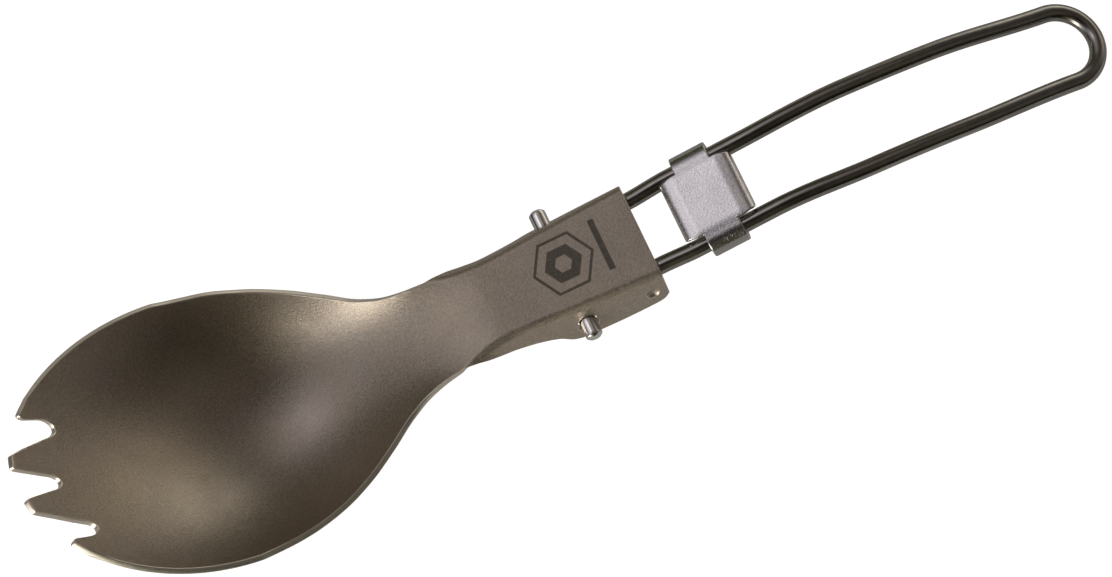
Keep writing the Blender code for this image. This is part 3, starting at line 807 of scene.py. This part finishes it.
def blasted_titanium():
    n = Nodes("sandblasted_titanium")
    tone = n.noise(55, 3, 0.55)
    patch = n.noise(190, 4, 0.6)
    grain = n.noise(3600, 2.0, 0.6)
    fine = n.noise(8200, 1.0, 0.5)
    _, cell = n.cells(4200)
    sparkle = n.tree.nodes.new("ShaderNodeSeparateColor")
    n.tree.links.new(cell, sparkle.inputs[0])
    colour = n.mix(n.range(tone, 0.35, 0.65, 0, 1), (0.475, 0.405, 0.325), (0.44, 0.385, 0.33))
    colour = n.mix(n.range(patch, 0.4, 0.7, 0, 0.35), colour, (0.40, 0.345, 0.285))
    speck = n.range(grain, 0.36, 0.64, 0.84, 1.15)
    grey = n.tree.nodes.new("ShaderNodeCombineColor")
    for socket in grey.inputs[:3]:
        n.tree.links.new(speck, socket)
    colour = n.mix(1.0, colour, grey.outputs[0], "MULTIPLY")
    mark = etched_mark(n)
    worn = n.math("MULTIPLY", mark, n.range(grain, 0.3, 0.6, 0.62, 0.86))
    colour = n.mix(worn, colour, (0.075, 0.07, 0.062))
    n.put(colour, n.shader.inputs["Base Color"])
    n.shader.inputs["Metallic"].default_value = 1.0
    rough = n.math("ADD", n.range(grain, 0.3, 0.7, 0.36, 0.46), n.range(patch, 0.3, 0.7, -0.02, 0.04))
    n.put(n.math("ADD", rough, n.math("MULTIPLY", mark, 0.12)), n.shader.inputs["Roughness"])
    low = n.bump(sparkle.outputs[0], 0.35, 0.000012)
    high = n.bump(grain, 0.75, 0.00005, low)
    n.put(n.bump(fine, 0.4, 0.00002, high), n.shader.inputs["Normal"])
    return n.material


def cut_titanium():
    """Sheared and tumbled edges of the sheet: brighter and smoother than the blasted faces."""
    n = Nodes("cut_titanium_edge")
    drag = n.noise(1500, 2, 0.5)
    tone = n.noise(260, 2, 0.5)
    colour = n.mix(n.range(tone, 0.35, 0.65, 0, 1), (0.74, 0.68, 0.585), (0.66, 0.605, 0.52))
    n.put(colour, n.shader.inputs["Base Color"])
    n.shader.inputs["Metallic"].default_value = 1.0
    n.put(n.range(drag, 0.3, 0.7, 0.34, 0.42), n.shader.inputs["Roughness"])
    n.put(n.bump(drag, 0.12, 0.00001), n.shader.inputs["Normal"])
    return n.material


def polished_wire():
    n = Nodes("polished_wire")
    draw = n.noise(900, 3, 0.6)
    fine = n.noise(4200, 2, 0.5)
    scuffs = n.noise(420, 4, 0.65)
    colour = n.mix(n.range(draw, 0.35, 0.65, 0, 1), (0.31, 0.292, 0.268), (0.255, 0.242, 0.222))
    # the pins get a lighter base colour: a painted highlight that stands in for the bright stripes along them
    pin = n.range(n.math("ABSOLUTE", n.xyz()[1]), 7.2 * MM, 7.9 * MM, 0.0, 1.0)
    colour = n.mix(pin, colour, (0.74, 0.725, 0.70))
    n.put(colour, n.shader.inputs["Base Color"])
    n.shader.inputs["Metallic"].default_value = 1.0
    n.put(n.math("ADD", n.range(scuffs, 0.42, 0.72, 0.07, 0.2), n.range(fine, 0.3, 0.7, 0.0, 0.04)), n.shader.inputs["Roughness"])
    n.put(n.bump(scuffs, 0.16, 0.00006, n.bump(fine, 0.12, 0.00001)), n.shader.inputs["Normal"])
    return n.material


def satin_steel():
    n = Nodes("satin_slider_steel")
    grain = n.noise(3900, 2, 0.6)
    _, cell = n.cells(4300)
    sparkle = n.tree.nodes.new("ShaderNodeSeparateColor")
    n.tree.links.new(cell, sparkle.inputs[0])
    tone = n.noise(260, 3, 0.5)
    colour = n.mix(n.range(tone, 0.35, 0.65, 0, 1), (0.82, 0.795, 0.81), (0.74, 0.715, 0.73))
    speck = n.range(grain, 0.34, 0.66, 0.84, 1.12)
    grey = n.tree.nodes.new("ShaderNodeCombineColor")
    for socket in grey.inputs[:3]:
        n.tree.links.new(speck, socket)
    colour = n.mix(1.0, colour, grey.outputs[0], "MULTIPLY")
    # the tabs round the wires: a smoother finish (lower roughness), and a darker base colour that is painted shade for
    # their dark reflections
    tab_shade_and_polish = n.range(n.math("ABSOLUTE", n.xyz()[1]), 5.4 * MM, 6.3 * MM, 0.0, 1.0)
    colour = n.mix(tab_shade_and_polish, colour, (0.42, 0.41, 0.395))
    n.put(colour, n.shader.inputs["Base Color"])
    n.shader.inputs["Metallic"].default_value = 1.0
    rough = n.math("MULTIPLY", n.range(grain, 0.3, 0.7, 0.2, 0.3), n.range(tab_shade_and_polish, 0.0, 1.0, 1.0, 0.75))
    n.put(rough, n.shader.inputs["Roughness"])
    n.put(n.bump(grain, 0.42, 0.00005, n.bump(sparkle.outputs[0], 0.4, 0.000015)), n.shader.inputs["Normal"])
    return n.material


def cut_steel():
    n = Nodes("cut_slider_edge")
    drag = n.noise(2600, 3, 0.6)
    n.put(n.mix(n.range(drag, 0.3, 0.7, 0, 1), (0.60, 0.59, 0.59), (0.50, 0.49, 0.49)), n.shader.inputs["Base Color"])
    n.shader.inputs["Metallic"].default_value = 1.0
    n.put(n.range(drag, 0.3, 0.7, 0.2, 0.32), n.shader.inputs["Roughness"])
    n.put(n.bump(drag, 0.25, 0.00002), n.shader.inputs["Normal"])
    return n.material


def pale_floor():
    n = Nodes("pale_floor")
    mottle = n.noise(9, 3, 0.5)
    n.put(n.mix(n.range(mottle, 0.3, 0.7, 0, 1), (0.86, 0.86, 0.855), (0.88, 0.88, 0.875)), n.shader.inputs["Base Color"])
    n.shader.inputs["Roughness"].default_value = 0.9
    n.shader.inputs["Specular IOR Level"].default_value = 0.1
    n.shader.inputs["Emission Color"].default_value = (1, 1, 1, 1)
    # a lit backdrop: it looks white, and throws less light onto the object than it shows
    seen = n.tree.nodes.new("ShaderNodeLightPath").outputs["Is Camera Ray"]
    n.put(n.range(seen, 0.0, 1.0, 0.02, FLOOR_GLOW), n.shader.inputs["Emission Strength"])
    return n.material


# ---------------------------------------------------------------- stage

# Camera: elevation 74 degrees, turned so that the handle runs up to the right
ELEVATION, AZIMUTH, ROLL = math.radians(74), math.radians(0.87), math.radians(-26.42)
DISTANCE = 600.0
ASIDE, ABOVE = -11.871, -8.215
back = Vector((math.cos(ELEVATION) * math.sin(AZIMUTH), -math.cos(ELEVATION) * math.cos(AZIMUTH), math.sin(ELEVATION)))
level_x = Vector((0, 0, 1)).cross(back).normalized()
level_y = back.cross(level_x)
right = level_x * math.cos(ROLL) + level_y * math.sin(ROLL)
up = level_y * math.cos(ROLL) - level_x * math.sin(ROLL)
FLOOR_GLOW = 0.85


def aim(off_axis, turn):
    """A direction by its angle from the camera's axis and its angle in the picture, anticlockwise from the right."""
    a, t = math.radians(off_axis), math.radians(turn)
    return back * math.cos(a) + (right * math.cos(t) + up * math.sin(t)) * math.sin(a)


def add_camera():
    data = bpy.data.cameras.new("camera")
    data.sensor_fit = "HORIZONTAL"
    data.sensor_width = 36.0
    data.lens = 4272 * 36.0 / 1112
    data.clip_start, data.clip_end = 0.01, 20
    camera = bpy.data.objects.new("camera", data)
    place = to_frame(0, 0, 0) + (back * DISTANCE + right * ASIDE + up * ABOVE) * MM
    camera.matrix_world = Matrix.Translation(place) @ Matrix((right, up, back)).transposed().to_4x4()
    bpy.context.scene.collection.objects.link(camera)
    bpy.context.scene.camera = camera


def add_world():
    world = bpy.data.worlds.new("studio")
    bpy.context.scene.world = world
    world.use_nodes = True
    tree = world.node_tree
    shader = tree.nodes["Background"]
    coord = tree.nodes.new("ShaderNodeTexCoord").outputs["Generated"]
    total = None
    # each: direction, sharpness, colour
    for direction, power, colour in LOBES:
        dot = tree.nodes.new("ShaderNodeVectorMath")
        dot.operation = "DOT_PRODUCT"
        tree.links.new(coord, dot.inputs[0])
        dot.inputs[1].default_value = direction
        clip = tree.nodes.new("ShaderNodeMath")
        clip.operation = "MAXIMUM"
        tree.links.new(dot.outputs["Value"], clip.inputs[0])
        clip.inputs[1].default_value = 0.0
        lobe = tree.nodes.new("ShaderNodeMath")
        lobe.operation = "POWER"
        tree.links.new(clip.outputs[0], lobe.inputs[0])
        lobe.inputs[1].default_value = power
        scale = tree.nodes.new("ShaderNodeVectorMath")
        scale.operation = "SCALE"
        scale.inputs[0].default_value = colour
        tree.links.new(lobe.outputs[0], scale.inputs["Scale"])
        add = tree.nodes.new("ShaderNodeVectorMath")
        add.operation = "ADD"
        tree.links.new(scale.outputs[0], add.inputs[0])
        if total is None:
            add.inputs[1].default_value = AMBIENT
        else:
            tree.links.new(total, add.inputs[1])
        total = add.outputs[0]
    tree.links.new(total, shader.inputs["Color"])
    shader.inputs["Strength"].default_value = 1.0


AMBIENT = (0.012, 0.012, 0.011)
SHARP = 18.0
# soft boxes round the object, as directions from it: a bright warm one low beyond the tines, dimmer ones above and behind
LOBES = (
    (Vector((-0.777, -0.602, 0.184)), 36.0, (14.0, 13.5, 12.8)),
    (Vector((0.669, 0.738, 0.087)), SHARP, (1.56, 1.52, 1.41)),
    (Vector((0.964, 0.264, -0.035)), SHARP, (1.06, 0.95, 0.75)),
    (Vector((-0.882, -0.281, 0.379)), SHARP, (0.82, 0.85, 0.92)),
    (Vector((-0.591, 0.244, 0.769)), SHARP, (0.71, 0.68, 0.71)),
    (Vector((-0.140, 0.521, 0.842)), SHARP, (0.48, 0.465, 0.50)),
    (Vector((-0.533, -0.846, -0.010)), SHARP, (0.46, 0.50, 0.23)),
    (Vector((-0.555, -0.665, 0.501)), SHARP, (0.32, 0.286, 0.221)),
    (Vector((0.246, 0.321, 0.915)), SHARP, (0.225, 0.205, 0.185)),
    (Vector((0.849, 0.446, 0.282)), SHARP, (0.141, 0.121, 0.075)),
    (Vector((0.871, 0.117, 0.477)), SHARP, (0.12, 0.111, 0.125)),
    (Vector((-0.31, 0.29, 0.905)), 90.0, (1.0, 0.95, 0.98)),
    (Vector((0.849, -0.392, 0.355)), SHARP, (0.078, 0.062, 0.051)),
    (Vector((0.592, -0.589, 0.550)), SHARP, (0.07, 0.077, 0.065)),
    (Vector((0.283, -0.605, 0.744)), SHARP, (0.069, 0.06, 0.042)),
    (Vector((-0.622, -0.360, 0.696)), SHARP, (0.07, 0.05, 0.048)),
    (Vector((0.166, 0.964, 0.209)), SHARP, (0.083, 0.069, 0.03)),
    (Vector((-0.364, 0.871, 0.330)), SHARP, (0.08, 0.085, 0.04)),
    (Vector((0.422, -0.268, 0.866)), SHARP, (0.063, 0.047, 0.036)),
)


def add_floor():
    bm = bmesh.new()
    bmesh.ops.create_grid(bm, x_segments=24, y_segments=24, size=1.6)
    floor = new_object("floor", mesh_from(bm, "floor"))
    floor.location.z = -0.0001
    floor.data.materials.append(pale_floor())


# ---------------------------------------------------------------- the object

head = build_head([blasted_titanium(), cut_titanium()])
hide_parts("spork_head")
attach(head, "head")

wire = build_wire(polished_wire())
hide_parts("wire_handle")
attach(wire, "handle")

slider = build_slider([satin_steel(), cut_steel()])
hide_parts("lock_slider")
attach(slider, "slider")

add_camera()
add_world()
add_floor()
bpy.context.scene.view_settings.view_transform = "Standard"
